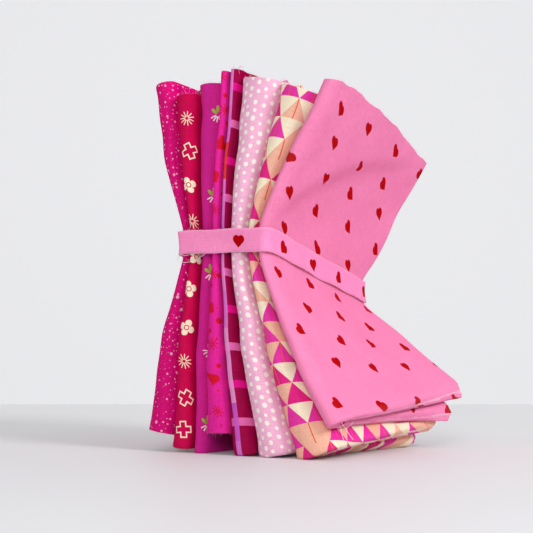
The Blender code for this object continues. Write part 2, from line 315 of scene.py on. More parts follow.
def quarter_places(number):
    """Places of the sheet's grid in millimetres, with its cloth coordinates and its marks."""
    quarter = QUARTERS[number]
    fold_a, bulge_a, side, nose, depth = (values[:, None] for values in sheet_columns())
    fold_b, bulge_b, climb = (values[None, :] for values in sheet_rows())
    ply = fold_a + fold_b * (PLY_STEPS / 2.0 - 0.5 - 2.0 * fold_a)
    across = 0.5 + side * (0.5 - ply / PLY_STEPS)
    centre = quarter.setback + quarter.rounding
    reach = np.where(side < 0.0, quarter.left_reach, quarter.right_reach)
    loose = np.where(side < 0.0, LEFT_STAGGER, RIGHT_STAGGER) * ply * depth
    rounded = quarter.rounding * nose * (1.0 - NOSE_NESTING * ply)
    y = mix(centre, reach, depth) - rounded + bulge_a + loose
    y = y * np.ones_like(climb)

    phase = PHASE_PER_QUARTER * number
    ply_phase = phase + PHASE_PER_PLY * np.round(ply) * np.ones_like(y)
    top = end_height(number, True, across, y)
    foot = end_height(number, False, across, y)
    rolled = top if quarter.roll_up else foot
    breadth = slot_x(number, 1.0, y, rolled) - slot_x(number, 0.0, y, rolled)
    radius = breadth * (3.0 - 2.0 * fold_a) / (2.0 * PLY_STEPS)
    radius = np.minimum(radius, ROLL_RADIUS_MOST * mix(1.0, INNER_ROLL_SHARE, fold_a))
    ragged = waves(EDGE_WAVES, 0.0, y, 0.0, ply_phase) - OPEN_END_STAGGER * ply
    for tip in TIPS:
        if tip.number == number:
            there = (np.round(ply) == tip.ply) & (side * tip.side > 0.5)
            ragged = ragged + there * tip.height * np.exp(-(((y - tip.y) / tip.half_width) ** 2))
    if quarter.roll_up:
        open_end, roll_end = foot - ragged, top - radius * (1.0 - bulge_b)
    else:
        open_end, roll_end = top + ragged, foot + radius * (1.0 - bulge_b)
    middle = tie_height(y)
    to_strip = mix(open_end, middle, climb * 2.0)
    past_strip = mix(middle, roll_end, climb * 2.0 - 1.0)
    z = np.where(climb < 0.5, to_strip, past_strip)
    z = np.maximum(z, COTTON_THICKNESS / 2.0 + FLOOR_CLEARANCE)

    x = slot_x(number, across, y, z)
    free = 1.0 - np.exp(-(((z - middle) / STILL_REACH) ** 2))
    room = slot_x(number, 1.0, y, z) - slot_x(number, 0.0, y, z)
    if quarter.name == "quarter_8_hearts":
        most = MOST_DRAWN * room
        drawn = most * np.tanh(hollowed(y, z) * free / most)
        clearance = INNER_CLEARANCE * np.minimum(ply, 1.0) * across * drawn / most
        x = x - drawn * across**DRAWN_POWER - clearance
        room = room - drawn
    ply_room = np.minimum(room / PLY_STEPS, PLY_WAVE_MOST)
    x = x + free * waves(CLOTH_WAVES, x, y, z, ply_phase) * ply_room
    x = x + free * waves(STACK_WAVES, x, y, z, 0.0)
    y = drawn_in(y, z)
    places = np.stack([x, y, z], axis=2)

    along = lengths_along(places, 0)
    up = lengths_along(places, 1)
    nose_column = SIDE_COLUMNS - 1 + NOSE_COLUMNS // 2
    along = along - along[nose_column : nose_column + 1, :]
    strip_row = HALF_ROWS - 1
    sense = 1.0 if quarter.roll_up else -1.0
    up = sense * (up - up[:, strip_row : strip_row + 1])
    ends = np.zeros_like(y)
    ends[:1, :] = ends[-1:, :] = 1.0
    ends[:, :1] = ends[:, -1:] = 1.0
    folds = np.maximum(nose * NOSE_WEAR + bulge_a, bulge_b * np.ones_like(y))
    return places, along, up, folds, ends


def length_to(points):
    """Length along a line of points, from the first to each."""
    return np.concatenate([[0.0], np.cumsum(np.linalg.norm(np.diff(points, axis=0), axis=1))])


def in_frame(places):
    """Places in the tables' millimetres, as metres in the CAD's frame."""
    return (np.array(places) - np.array(FRAME_CENTRE)) * MM


def linked(name, data):
    """A new object of a mesh, curve, light or camera, linked to the scene."""
    made = bpy.data.objects.new(name, data)
    bpy.context.scene.collection.objects.link(made)
    return made


def cloth_mesh(name, places, along, up, marks, turned_over=False):
    """A sheet's mesh in metres in the CAD's frame, with its cloth coordinates in millimetres."""
    columns, rows = places.shape[:2]
    corners = in_frame(places).reshape(-1, 3)
    first = np.arange((columns - 1) * rows).reshape(columns - 1, rows)[:, :-1].ravel()
    faces = np.stack([first, first + rows, first + rows + 1, first + 1], axis=1)
    if turned_over:
        faces = faces[:, ::-1]
    mesh = bpy.data.meshes.new(name)
    mesh.from_pydata(corners.tolist(), [], faces.tolist())
    layer = mesh.uv_layers.new(name="cloth")
    flat = np.stack([along.ravel(), up.ravel()], axis=1)
    layer.data.foreach_set("uv", flat[faces.ravel()].ravel())
    for mark, values in marks.items():
        attribute = mesh.attributes.new(mark, "FLOAT", "POINT")
        attribute.data.foreach_set("value", values.astype(np.float32).ravel())
    mesh.shade_smooth()
    return linked(name, mesh)


def thicken(made, thickness):
    solidify = made.modifiers.new("thickness", "SOLIDIFY")
    solidify.thickness = thickness * MM
    solidify.offset = 0.0
    solidify.material_offset = 1
    solidify.material_offset_rim = 1


FRINGE_SPACING = 1.5
FRINGE_LONGEST = 1.7
FRINGE_SHORTEST = 0.25
FRINGE_POWER = 2.2  # above 1, most threads are short
FRINGE_SPREAD = 0.32
FRINGE_BEND = 0.30
FRINGE_CLEARANCE = 0.05
FRINGE_THICKNESS = 0.075
FRINGE_SIDES = 3
FRINGE_RINGS = ((-0.15, 1.0), (0.5, 0.8), (1.0, 0.35))  # share of the length, and of the thickness
QUARTER_SEED = 100
STRIP_SEED = 200


def fringe_roots(places, spacing):
    """Roots along one raw edge, and which way its loose threads point.

    The edge is the first row of the places, and the second row is the cloth behind it.
    """
    length = length_to(places[0])
    stops = np.arange(0.5 * spacing, length[-1], spacing)
    edge, inner = (
        np.stack([np.interp(stops, length, row[:, axis]) for axis in range(3)], axis=1)
        for row in places
    )
    outward = edge - inner
    return edge, outward / np.linalg.norm(outward, axis=1, keepdims=True)


def make_fringe(name, edges, material, seed, longest=FRINGE_LONGEST):
    """The short loose threads along the raw edges of one sheet, each a thin bent spike."""
    chance = np.random.default_rng(seed)
    found = [fringe_roots(edge, FRINGE_SPACING) for edge in edges]
    roots = np.concatenate([root for root, _ in found])
    outward = np.concatenate([out for _, out in found])
    count = len(roots)
    outward = outward + chance.normal(0.0, FRINGE_SPREAD, (count, 3))
    bend = chance.normal(0.0, FRINGE_BEND, (count, 3))
    length = longest * chance.random((count, 1)) ** FRINGE_POWER + FRINGE_SHORTEST
    aside = np.cross(outward, bend + 0.01)
    aside = aside / np.linalg.norm(aside, axis=1, keepdims=True)
    other = np.cross(outward, aside)
    rings = []
    for share, thick in FRINGE_RINGS:
        middle = roots + outward * length * share + bend * length * share**2
        for turn in range(FRINGE_SIDES):
            angle = 2.0 * math.pi * turn / FRINGE_SIDES
            around = aside * math.cos(angle) + other * math.sin(angle)
            rings.append(middle + around * FRINGE_THICKNESS * thick)
    corners = np.stack(rings, axis=1).reshape(-1, 3)
    corners[:, 2] = np.maximum(corners[:, 2], FRINGE_CLEARANCE)
    per_thread = len(FRINGE_RINGS) * FRINGE_SIDES
    each = [(2, 1, 0), tuple(range(per_thread - FRINGE_SIDES, per_thread))]
    for ring in range(0, per_thread - FRINGE_SIDES, FRINGE_SIDES):
        above = ring + FRINGE_SIDES
        for turn in range(FRINGE_SIDES):
            ahead = (turn + 1) % FRINGE_SIDES
            each.append((ring + turn, ring + ahead, above + ahead, above + turn))
    starts = range(0, count * per_thread, per_thread)
    faces = [tuple(start + corner for corner in face) for start in starts for face in each]
    mesh = bpy.data.meshes.new(name)
    mesh.from_pydata(in_frame(corners).tolist(), [], faces)
    mesh.shade_smooth()
    mesh.materials.append(material)
    made = linked(name, mesh)
    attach(made, "root")
    return made


LONG_THREAD_THICKNESS = 0.26


def make_thread(name, places, material):
    """One long loose thread through places in millimetres."""
    curve = bpy.data.curves.new(name, "CURVE")
    curve.dimensions = "3D"
    curve.bevel_depth = LONG_THREAD_THICKNESS / 2.0 * MM
    curve.bevel_resolution = 2
    curve.use_fill_caps = True
    spline = curve.splines.new("NURBS")
    spline.points.add(len(places) - 1)
    for point, place in zip(spline.points, places):
        point.co = (*in_frame(place), 1.0)
    spline.use_endpoint_u = True
    spline.order_u = 4
    curve.materials.append(material)
    made = linked(name, curve)
    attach(made, "root")


def thread_cotton(name, colour):
    """Loose cotton thread: its colour wanders a little and its twist shows as fine relief."""
    material = bpy.data.materials.new(name)
    material.use_nodes = True
    tree = material.node_tree
    shader = tree.nodes["Principled BSDF"]
    place = tree.nodes.new("ShaderNodeTexCoord")
    noise = tree.nodes.new("ShaderNodeTexNoise")
    noise.inputs["Scale"].default_value = 900.0
    tree.links.new(place.outputs["Object"], noise.inputs["Vector"])
    ramp = tree.nodes.new("ShaderNodeMix")
    ramp.data_type = "RGBA"
    ramp.inputs["A"].default_value = (*[share * 0.82 for share in colour], 1.0)
    ramp.inputs["B"].default_value = (*colour, 1.0)
    tree.links.new(noise.outputs["Fac"], ramp.inputs["Factor"])
    tree.links.new(ramp.outputs["Result"], shader.inputs["Base Color"])
    bump = tree.nodes.new("ShaderNodeBump")
    bump.inputs["Strength"].default_value = 0.3
    bump.inputs["Distance"].default_value = 0.1 * MM
    tree.links.new(noise.outputs["Fac"], bump.inputs["Height"])
    tree.links.new(bump.outputs["Normal"], shader.inputs["Normal"])
    shader.inputs["Roughness"].default_value = 0.85
    shader.inputs["Sheen Weight"].default_value = 0.1
    return material


def make_quarter(number, materials):
    quarter = QUARTERS[number]
    places, along, up, folds, ends = quarter_places(number)
    marks = {"fold": folds, "edge": ends}
    piece = cloth_mesh(quarter.name + "_cloth", places, along, up, marks, not quarter.roll_up)
    for material in materials:
        piece.data.materials.append(material)
    thicken(piece, COTTON_THICKNESS)
    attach(piece, "root")
    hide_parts(quarter.name)
    by_row = places.transpose(1, 0, 2)
    edges = [by_row[:2], by_row[:-3:-1], places[:2], places[:-3:-1]]
    cotton = thread_cotton(quarter.name + "_thread", PRINTS[quarter.name][1])
    seed = QUARTER_SEED + number
    fringe = make_fringe(quarter.name + "_fringe", edges, cotton, seed)


# ---------------------------------------------------------------- the strip
STRIP_STANDOFF = 0.15
STRIP_FRONT_DEPTH = 1.0
STRIP_BACK_LEFT_DEPTH = 130.5
STRIP_BACK_RIGHT_DEPTH = 132.5
STRIP_CORNER_RADIUS = 1.6
STRIP_FRONT_RIGHT_RADIUS = 4.0
STRIP_COLUMNS = 300
STRIP_ROWS = 9
CORNER_STEPS = 6
SIDE_STEPS = 24
STRIP_FRINGE_LONGEST = 0.9
STRIP_RIPPLE = 0.30
STRIP_CUP = 0.012  # how fast the strip curls away towards its raw edges


def undrawn_depth(y):
    drawn_share = (DRAWN_IN_FRONT + DRAWN_IN_BACK) / FOLDED_DEPTH
    return (y - DRAWN_IN_FRONT) / (1.0 - drawn_share)


def strip_side(divider, outward, y):
    depth = undrawn_depth(y)
    middle = tie_height(depth)
    rises = (-TIE_WIDTH / 2.0, 0.0, TIE_WIDTH / 2.0)
    places = [divider_x(divider, depth, middle + rise) for rise in rises]
    furthest = max(places) if outward > 0.0 else min(places)
    return furthest + outward * STRIP_STANDOFF


def corner(x, y, radius, start_angle):
    for step in range(CORNER_STEPS + 1):
        angle = math.radians(start_angle + 90.0 * step / CORNER_STEPS)
        yield x + radius * math.cos(angle), y + radius * math.sin(angle)


def side_run(divider, outward, start, end):
    for step in range(1, SIDE_STEPS):
        y = mix(start, end, step / SIDE_STEPS)
        yield strip_side(divider, outward, y), y


def strip_plan():
    """The strip's route round the stack as seen from above, anticlockwise from the left."""
    small, large = STRIP_CORNER_RADIUS, STRIP_FRONT_RIGHT_RADIUS
    left, right = DIVIDERS[0], DIVIDERS[-1]
    front_left = STRIP_FRONT_DEPTH + small
    front_right = STRIP_FRONT_DEPTH + large
    back_right = STRIP_BACK_RIGHT_DEPTH - small
    back_left = STRIP_BACK_LEFT_DEPTH - small
    return [
        *corner(strip_side(left, -1.0, front_left) + small, front_left, small, 180.0),
        *corner(strip_side(right, 1.0, front_right) - large, front_right, large, 270.0),
        *side_run(right, 1.0, front_right, back_right),
        *corner(strip_side(right, 1.0, back_right) - small, back_right, small, 0.0),
        *corner(strip_side(left, -1.0, back_left) + small, back_left, small, 90.0),
        *side_run(left, -1.0, back_left, front_left),
        (strip_side(left, -1.0, front_left), front_left),
    ]


def make_strip(materials):
    plan = np.array(strip_plan())
    length = length_to(plan)
    stops = np.linspace(0.0, length[-1], STRIP_COLUMNS)
    x = np.interp(stops, length, plan[:, 0])[:, None]
    y = np.interp(stops, length, plan[:, 1])[:, None]
    ahead_x = np.gradient(x[:, 0])[:, None]
    ahead_y = np.gradient(y[:, 0])[:, None]
    ahead = np.hypot(ahead_x, ahead_y)
    out_x, out_y = ahead_y / ahead, -ahead_x / ahead
    rise = np.linspace(-0.5, 0.5, STRIP_ROWS)[None, :] * TIE_WIDTH
    turn = 2.0 * math.pi * stops[:, None] / length[-1]
    sway = 0.35 * np.sin(5.0 * turn + 0.4) + 0.25 * np.sin(11.0 * turn)
    z = tie_height(undrawn_depth(y)) + rise + sway
    ripple = STRIP_RIPPLE * (1.0 + np.sin(9.0 * turn + 0.25 * rise)) + STRIP_CUP * rise**2
    places = np.stack([x + out_x * ripple, y + out_y * ripple, z * np.ones_like(x)], axis=2)
    along = stops[:, None] * np.ones_like(rise)
    up = rise * np.ones_like(along)
    edges = np.zeros_like(along)
    edges[:, 0] = edges[:, -1] = 1.0
    marks = {"fold": edges * 0.0, "edge": edges}
    piece = cloth_mesh("tie_strip_cloth", places, along, up, marks)
    for material in materials:
        piece.data.materials.append(material)
    thicken(piece, COTTON_THICKNESS)
    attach(piece, "root")
    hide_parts("tie_strip")
    cotton = thread_cotton("tie_strip_thread", PRINTS["tie_strip"][1])
    by_row = places.transpose(1, 0, 2)
    raw = [by_row[:2], by_row[:-3:-1]]
    longest = STRIP_FRINGE_LONGEST
    fringe = make_fringe("tie_strip_fringe", raw, cotton, STRIP_SEED, longest)


# Long loose threads: the slot each belongs to, its colour, and its route in millimetres.
LoosePiece = namedtuple("LoosePiece", "name slot colour route")
PALE_THREAD = (0.92, 0.78, 0.80)
LOOSE_THREADS = (
    LoosePiece("thread_under_strip", "tie_strip", PALE_THREAD, (
        (1.0, 4.0, 118.6), (0.2, 0.2, 115.6), (4.0, -1.6, 113.3),
        (11.0, -1.8, 112.8), (18.0, -1.4, 114.6), (22.5, 0.2, 118.2),
    )),
    LoosePiece("thread_under_strip_end", "tie_strip", PALE_THREAD, (
        (2.2, 1.0, 119.0), (6.0, -1.2, 116.6), (12.0, -1.2, 117.4), (16.0, 0.2, 119.2),
    )),
    LoosePiece("thread_hearts_corner_a", "quarter_8_hearts", PALE_THREAD, (
        (112.5, 1.5, 19.0), (115.5, -2.2, 16.4), (119.0, -2.8, 18.2), (122.8, -2.0, 22.2),
    )),
    LoosePiece("thread_hearts_corner_b", "quarter_8_hearts", PALE_THREAD, (
        (113.5, 1.5, 21.5), (116.0, -2.0, 20.6), (119.5, -2.4, 16.8), (122.0, -1.0, 12.6),
    )),
    LoosePiece("thread_hearts_corner_c", "quarter_8_hearts", PALE_THREAD, (
        (113.0, 2.0, 18.0), (114.6, -1.6, 16.0), (117.0, -2.6, 13.2), (117.6, -2.0, 9.8),
    )),
    LoosePiece("thread_plaid_top", "quarter_5_plaid", (0.80, 0.30, 0.45), (
        (44.0, 4.0, 224.0), (44.6, 1.0, 227.2), (46.6, 0.0, 228.2), (49.0, 1.0, 226.6),
    )),
)


def make_loose_threads():
    for row in LOOSE_THREADS:
        make_thread(row.name, row.route, thread_cotton(row.name + "_cotton", row.colour))


# ---------------------------------------------------------------- prints, as node arithmetic
class Cloth:
    """Builds one printed cotton: numbers at each place on the cloth, as sockets of its nodes."""

    def __init__(self, name):
        self.material = bpy.data.materials.new(name)
        self.material.use_nodes = True
        self.tree = self.material.node_tree
        self.shader = self.tree.nodes["Principled BSDF"]
        place = self.node("ShaderNodeUVMap", uv_map="cloth")
        self.place = place.outputs["UV"]
        split = self.node("ShaderNodeSeparateXYZ")
        self.join(split.inputs[0], self.place)
        self.u, self.v = split.outputs["X"], split.outputs["Y"]

    def node(self, kind, **settings):
        made = self.tree.nodes.new(kind)
        for setting, value in settings.items():
            setattr(made, setting, value)
        return made

    def join(self, socket, value):
        if isinstance(value, tuple) and socket.type == "RGBA":
            value = (*value, 1.0)
        if isinstance(value, (int, float, tuple)):
            socket.default_value = value
        else:
            self.tree.links.new(value, socket)

    def math(self, operation, *values):
        made = self.node("ShaderNodeMath", operation=operation)
        for socket, value in zip(made.inputs, values):
            self.join(socket, value)
        return made.outputs[0]

    def add(self, first, second):
        return self.math("ADD", first, second)

    def sub(self, first, second):
        return self.math("SUBTRACT", first, second)

    def mul(self, first, second):
        return self.math("MULTIPLY", first, second)

    def div(self, first, second):
        return self.math("DIVIDE", first, second)

    def most(self, first, *others):
        for other in others:
            first = self.math("MAXIMUM", first, other)
        return first

    def least(self, first, *others):
        for other in others:
            first = self.math("MINIMUM", first, other)
        return first

    def size(self, x, y):
        return self.math("SQRT", self.add(self.mul(x, x), self.mul(y, y)))

    def below(self, value, edge, soft):
        """1 where a value is below an edge, 0 above it, and smooth over a soft width."""
        made = self.node("ShaderNodeMapRange", interpolation_type="SMOOTHSTEP")
        self.join(made.inputs["Value"], value)
        self.join(made.inputs["From Min"], edge + soft / 2.0)
        self.join(made.inputs["From Max"], edge - soft / 2.0)
        return made.outputs["Result"]

    def vector(self, x, y, z=0.0):
        made = self.node("ShaderNodeCombineXYZ")
        for socket, value in zip(made.inputs, (x, y, z)):
            self.join(socket, value)
        return made.outputs[0]

    def chance(self, x, y, seed):
        """Three numbers from 0 to 1 that stay the same all over one repeat."""
        made = self.node("ShaderNodeTexWhiteNoise", noise_dimensions="3D")
        self.join(made.inputs["Vector"], self.vector(x, y, float(seed)))
        split = self.node("ShaderNodeSeparateXYZ")
        self.join(split.inputs[0], made.outputs["Color"])
        return split.outputs

    def repeats(self, width, height, seed, start=(0.0, 0.0), drop=0.5, wander=0.0, lean=0.0, v=None):
        """Half-drop repeats. Returns the place inside one from its middle, and its chances.

        A lean slants the columns, and another v stretches or squeezes the rows.
        """
        v = self.v if v is None else v
        leaning = self.add(self.u, self.mul(v, lean))
        column_place = self.div(self.sub(leaning, start[0]), width)
        column = self.math("FLOOR", column_place)
        odd = self.math("PINGPONG", column, 1.0)
        row_place = self.sub(self.div(self.sub(v, start[1]), height), self.mul(odd, drop))
        row = self.math("FLOOR", row_place)
        chances = self.chance(column, row, seed)
        x = self.mul(self.sub(self.sub(column_place, column), 0.5), width)
        y = self.mul(self.sub(self.sub(row_place, row), 0.5), height)
        x = self.add(x, self.mul(self.sub(chances[0], 0.5), wander))
        y = self.add(y, self.mul(self.sub(chances[1], 0.5), wander))
        return x, y, chances

    def turned(self, x, y, angle):
        cos, sin = self.math("COSINE", angle), self.math("SINE", angle)
        new_x = self.add(self.mul(x, cos), self.mul(y, sin))
        new_y = self.sub(self.mul(y, cos), self.mul(x, sin))
        return new_x, new_y

    def heart(self, x, y, width):
        """A heart of that width: a square on its corner with a half disc on each upper side."""
        side = width / (1.0 + math.sqrt(0.5))
        shift = side * math.sqrt(0.125)
        wide = self.math("ABSOLUTE", x)
        lobe = self.sub(self.size(self.sub(wide, shift), self.sub(y, shift)), side / 2.0)
        square = self.sub(self.add(wide, self.math("ABSOLUTE", y)), side * math.sqrt(0.5))
        return self.below(self.least(lobe, square), 0.0, 0.3)

    def disc(self, x, y, radius, soft=0.25):
        return self.below(self.sub(self.size(x, y), radius), 0.0, soft)

    def rays(self, x, y, count, inner, outer, half_width):
        """Straight strokes round a middle, as in a starburst."""
        angle = self.math("ARCTAN2", y, x)
        turn = self.mul(angle, count / (2.0 * math.pi))
        off = self.math("ABSOLUTE", self.sub(turn, self.math("ROUND", turn)))
        beside = self.mul(off, 2.0 * math.pi / count)
        radius = self.size(x, y)
        stroke = self.below(self.mul(beside, radius), half_width, 0.2)
        ring = self.mul(self.below(radius, outer, 0.3), self.sub(1.0, self.below(radius, inner, 0.3)))
        return self.mul(stroke, ring)

    def blended(self, share, first, second):
        made = self.node("ShaderNodeMix", data_type="RGBA")
        self.join(made.inputs["Factor"], share)
        self.join(made.inputs["A"], first)
        self.join(made.inputs["B"], second)
        return made.outputs["Result"]

    def noise(self, scale, detail, place=None):
        made = self.node("ShaderNodeTexNoise")
        made.inputs["Scale"].default_value = scale
        made.inputs["Detail"].default_value = detail
        self.join(made.inputs["Vector"], self.place if place is None else place)
        return made.outputs["Fac"]

    def ground(self, scale, dark, light):
        """The print's own colour, which wanders softly between two shades."""
        return self.blended(self.noise(scale, 2.0), dark, light)

    def bands(self, value, start, width, middle):
        """Equal bands: the number of each, and the distance from a line at a share of it."""
        place = self.div(self.add(value, start), width)
        number = self.math("FLOOR", place)
        off = self.math("ABSOLUTE", self.sub(self.sub(place, number), middle))
        return number, self.mul(off, width)

    def attribute(self, name):
        return self.node("ShaderNodeAttribute", attribute_name=name).outputs["Fac"]


THREAD_PITCH = 0.42  # millimetres of cloth from one thread to the next
SLUB_ACROSS = 3.1
SLUB_ALONG = 0.12
SLUB_CONTRAST = 0.36
WEAVE_CONTRAST = 0.035
BLOTCH_CONTRAST = 0.06
FOLD_WEAR = 0.06
RAW_EDGE_PALENESS = 0.55
RAW_EDGE_POWER = 6.0


def finish_cotton(cloth, colour, reverse, fade):
    """Weave, slubs, wear at the folds and raw edges over a print, in colour and in bump."""
    warp = cloth.math("SINE", cloth.mul(cloth.u, 2.0 * math.pi / THREAD_PITCH))
    weft = cloth.math("SINE", cloth.mul(cloth.v, 2.0 * math.pi / THREAD_PITCH))
    weave = cloth.mul(warp, weft)
    slubs = 0.0
    for u_scale, v_scale, layer in ((SLUB_ACROSS, SLUB_ALONG, 0.0), (SLUB_ALONG, SLUB_ACROSS, 7.0)):
        place = cloth.vector(cloth.mul(cloth.u, u_scale), cloth.mul(cloth.v, v_scale), layer)
        slubs = cloth.add(slubs, cloth.noise(1.0, 2.0, place))
    if reverse:
        colour = cloth.blended(0.45, colour, fade)
    pale = cloth.blended(0.5, colour, fade)
    worn = cloth.mul(cloth.attribute("fold"), cloth.mul(slubs, FOLD_WEAR))
    colour = cloth.blended(worn, colour, pale)
    uneven = cloth.mul(cloth.sub(slubs, 1.0), SLUB_CONTRAST)
    threads = cloth.add(0.97, cloth.add(cloth.mul(weave, WEAVE_CONTRAST), uneven))
    blotches = cloth.add(0.97, cloth.mul(cloth.noise(0.045, 3.0), BLOTCH_CONTRAST))
    tone = cloth.mul(threads, blotches)
    toned = cloth.node("ShaderNodeVectorMath", operation="SCALE")
    cloth.join(toned.inputs[0], colour)
    cloth.join(toned.inputs["Scale"], tone)
    colour = toned.outputs[0]
    raw = cloth.math("POWER", cloth.attribute("edge"), RAW_EDGE_POWER)
    colour = cloth.blended(cloth.mul(raw, RAW_EDGE_PALENESS), colour, fade)
    cloth.join(cloth.shader.inputs["Base Color"], colour)
    shader = cloth.shader
    cloth.join(shader.inputs["Roughness"], cloth.add(0.80, cloth.mul(slubs, 0.08)))
    shader.inputs["Specular IOR Level"].default_value = 0.01
    shader.inputs["Sheen Weight"].default_value = 0.015
    shader.inputs["Sheen Roughness"].default_value = 0.45
    shader.inputs["Sheen Tint"].default_value = (*fade, 1.0)
    relief = cloth.add(cloth.mul(weave, 0.5), cloth.mul(slubs, 1.1))
    bump = cloth.node("ShaderNodeBump")
    bump.inputs["Strength"].default_value = 0.35
    bump.inputs["Distance"].default_value = 0.12 * MM
    cloth.join(bump.inputs["Height"], relief)
    cloth.join(shader.inputs["Normal"], bump.outputs["Normal"])
    return cloth.material


def speckled(cloth):
    """Magenta with fine pale specks of mixed sizes."""
    ground = cloth.ground(0.08, (0.55, 0.0008, 0.130), (0.74, 0.002, 0.200))
    specks = []
    for width, radius, seed in ((4.6, 0.62, 11), (6.9, 0.95, 12), (3.4, 0.34, 13)):
        x, y, chances = cloth.repeats(width, width, seed, wander=width * 0.6)
        grown = cloth.mul(radius, cloth.sub(cloth.mul(chances[2], 1.25), 0.22))
        specks.append(cloth.disc(x, y, grown, 0.35))
    return cloth.blended(cloth.mul(cloth.most(*specks), 0.78), ground, (0.93, 0.50, 0.68))


def flowers(cloth):
    """Raspberry with cream blossoms, outlined crosses and starbursts."""
    ground = cloth.ground(0.06, (0.48, 0.0008, 0.052), (0.62, 0.001, 0.085))
    x, y, chances = cloth.repeats(17.0, 21.0, 21, start=(-6.5, 3.0), wander=3.0)
    x, y = cloth.turned(x, y, cloth.mul(chances[1], 1.4))
    radius = cloth.size(x, y)
    angle = cloth.math("ARCTAN2", y, x)
    petals = cloth.math("ABSOLUTE", cloth.math("COSINE", cloth.mul(angle, 2.0)))
    outline = cloth.add(1.5, cloth.mul(cloth.math("SQRT", petals), 3.4))
    blossom = cloth.below(cloth.sub(radius, outline), 0.0, 0.3)
    ring = cloth.math("ABSOLUTE", cloth.sub(radius, 1.35))
    blossom = cloth.mul(blossom, cloth.sub(1.0, cloth.below(ring, 0.28, 0.2)))
    wide, high = cloth.math("ABSOLUTE", x), cloth.math("ABSOLUTE", y)
    arm = cloth.sub(cloth.least(wide, high), 1.7)
    reach = cloth.sub(cloth.most(wide, high), 4.6)
    cross_outline = cloth.math("ABSOLUTE", cloth.most(arm, reach))
    cross = cloth.below(cross_outline, 0.38, 0.2)
    burst = cloth.rays(x, y, 11.0, 1.0, 4.4, 0.24)
    kind = chances[2]
    is_blossom = cloth.math("LESS_THAN", kind, 0.42)
    is_burst = cloth.math("GREATER_THAN", kind, 0.72)
    is_cross = cloth.sub(1.0, cloth.add(is_blossom, is_burst))
    motifs = cloth.add(cloth.mul(burst, is_burst), cloth.mul(cross, is_cross))
    motifs = cloth.add(cloth.mul(blossom, is_blossom), motifs)
    return cloth.blended(motifs, ground, (0.92, 0.80, 0.58))


def sprigs(cloth):
    """Orchid pink with small two-leaved sprigs that carry a fan of pale strokes."""
    ground = cloth.ground(0.05, (0.56, 0.012, 0.22), (0.68, 0.018, 0.30))
    x, y, chances = cloth.repeats(34.0, 46.0, 31, start=(-12.0, 8.0), wander=6.0)
    x, y = cloth.turned(x, y, cloth.mul(cloth.sub(chances[2], 0.5), 1.2))
    upward = cloth.math("GREATER_THAN", y, 0.0)
    leaves = []
    for lean, place in ((0.5, (-1.3, 2.2)), (-0.35, (1.2, 3.2))):
        leaf_x, leaf_y = cloth.turned(cloth.sub(x, place[0]), cloth.sub(y, place[1]), lean)
        leaves.append(cloth.disc(cloth.mul(leaf_x, 2.3), leaf_y, 2.1, 0.5))
    strokes = cloth.rays(x, y, 13.0, 1.2, 4.6, 0.34)
    strokes = cloth.mul(strokes, cloth.sub(1.0, upward))
    colour = cloth.blended(cloth.most(*leaves), ground, (0.30, 0.50, 0.03))
    return cloth.blended(strokes, colour, (0.90, 0.82, 0.78))


def dots(cloth):
    """Hot pink with fine red specks, larger red dots, hearts and starbursts."""
    ground = cloth.ground(0.06, (0.68, 0.012, 0.26), (0.78, 0.020, 0.32))
    red = (0.62, 0.004, 0.02)
    x, y, chances = cloth.repeats(1.5, 1.5, 41, wander=1.0)
    fine = cloth.disc(x, y, cloth.mul(chances[2], 0.26), 0.2)
    x, y, chances = cloth.repeats(7.5, 8.5, 42, wander=4.5)
    dot = cloth.disc(x, y, cloth.mul(cloth.sub(chances[2], 0.15), 2.2), 0.2)
    x, y, chances = cloth.repeats(13.0, 20.0, 43, start=(-6.0, 9.0), wander=4.0)
    x, y = cloth.turned(x, y, cloth.mul(cloth.sub(chances[0], 0.5), 2.2))
    is_heart = cloth.math("LESS_THAN", chances[2], 0.55)
    heart = cloth.mul(cloth.heart(x, y, 7.5), is_heart)
    burst = cloth.mul(cloth.rays(x, y, 9.0, 0.4, 3.6, 0.30), cloth.sub(1.0, is_heart))
    marks = cloth.most(cloth.mul(fine, 0.45), dot, heart, burst)
    return cloth.blended(marks, ground, red)


PLAID_HEIGHT = 22.0
PLAID_WIDTH = 24.0
PLAID_START = 7.0


def plaid(cloth):
    """A windowpane plaid: dark magenta, with cross bands of two pinks and a narrow stripe."""
    ground = cloth.ground(0.3, (0.29, 0.0005, 0.042), (0.36, 0.0008, 0.062))
    band_number, beside = cloth.bands(cloth.v, PLAID_START, PLAID_HEIGHT, 0.5)
    band = cloth.below(beside, 2.3, 0.15)
    other = cloth.math("PINGPONG", band_number, 1.0)
    band_colour = cloth.blended(other, (0.76, 0.004, 0.24), (0.74, 0.14, 0.40))
    stripe_number, aside = cloth.bands(cloth.u, PLAID_START, PLAID_WIDTH, 0.25)
    stripe = cloth.below(aside, 1.8, 0.15)
    run = cloth.chance(band_number, stripe_number, 51)
    stripe_colour = cloth.blended(run[0], (0.62, 0.10, 0.60), (0.84, 0.36, 0.66))
    warm = cloth.math("GREATER_THAN", run[1], 0.66)
    stripe_colour = cloth.blended(warm, stripe_colour, (0.80, 0.045, 0.03))
    colour = cloth.blended(band, ground, band_colour)
    return cloth.blended(cloth.mul(stripe, 0.9), colour, stripe_colour)


def dotted(cloth):
    """Pale pink with rows of off-white dots, no two quite the same size."""
    ground = cloth.ground(0.06, (0.83, 0.41, 0.58), (0.89, 0.47, 0.66))
    x, y, chances = cloth.repeats(4.7, 5.3, 61, start=(0.6, 0.0), wander=1.3)
    dot = cloth.disc(cloth.mul(x, 1.08), y, cloth.add(0.95, cloth.mul(chances[2], 0.62)), 0.3)
    return cloth.blended(dot, ground, (0.90, 0.84, 0.76))


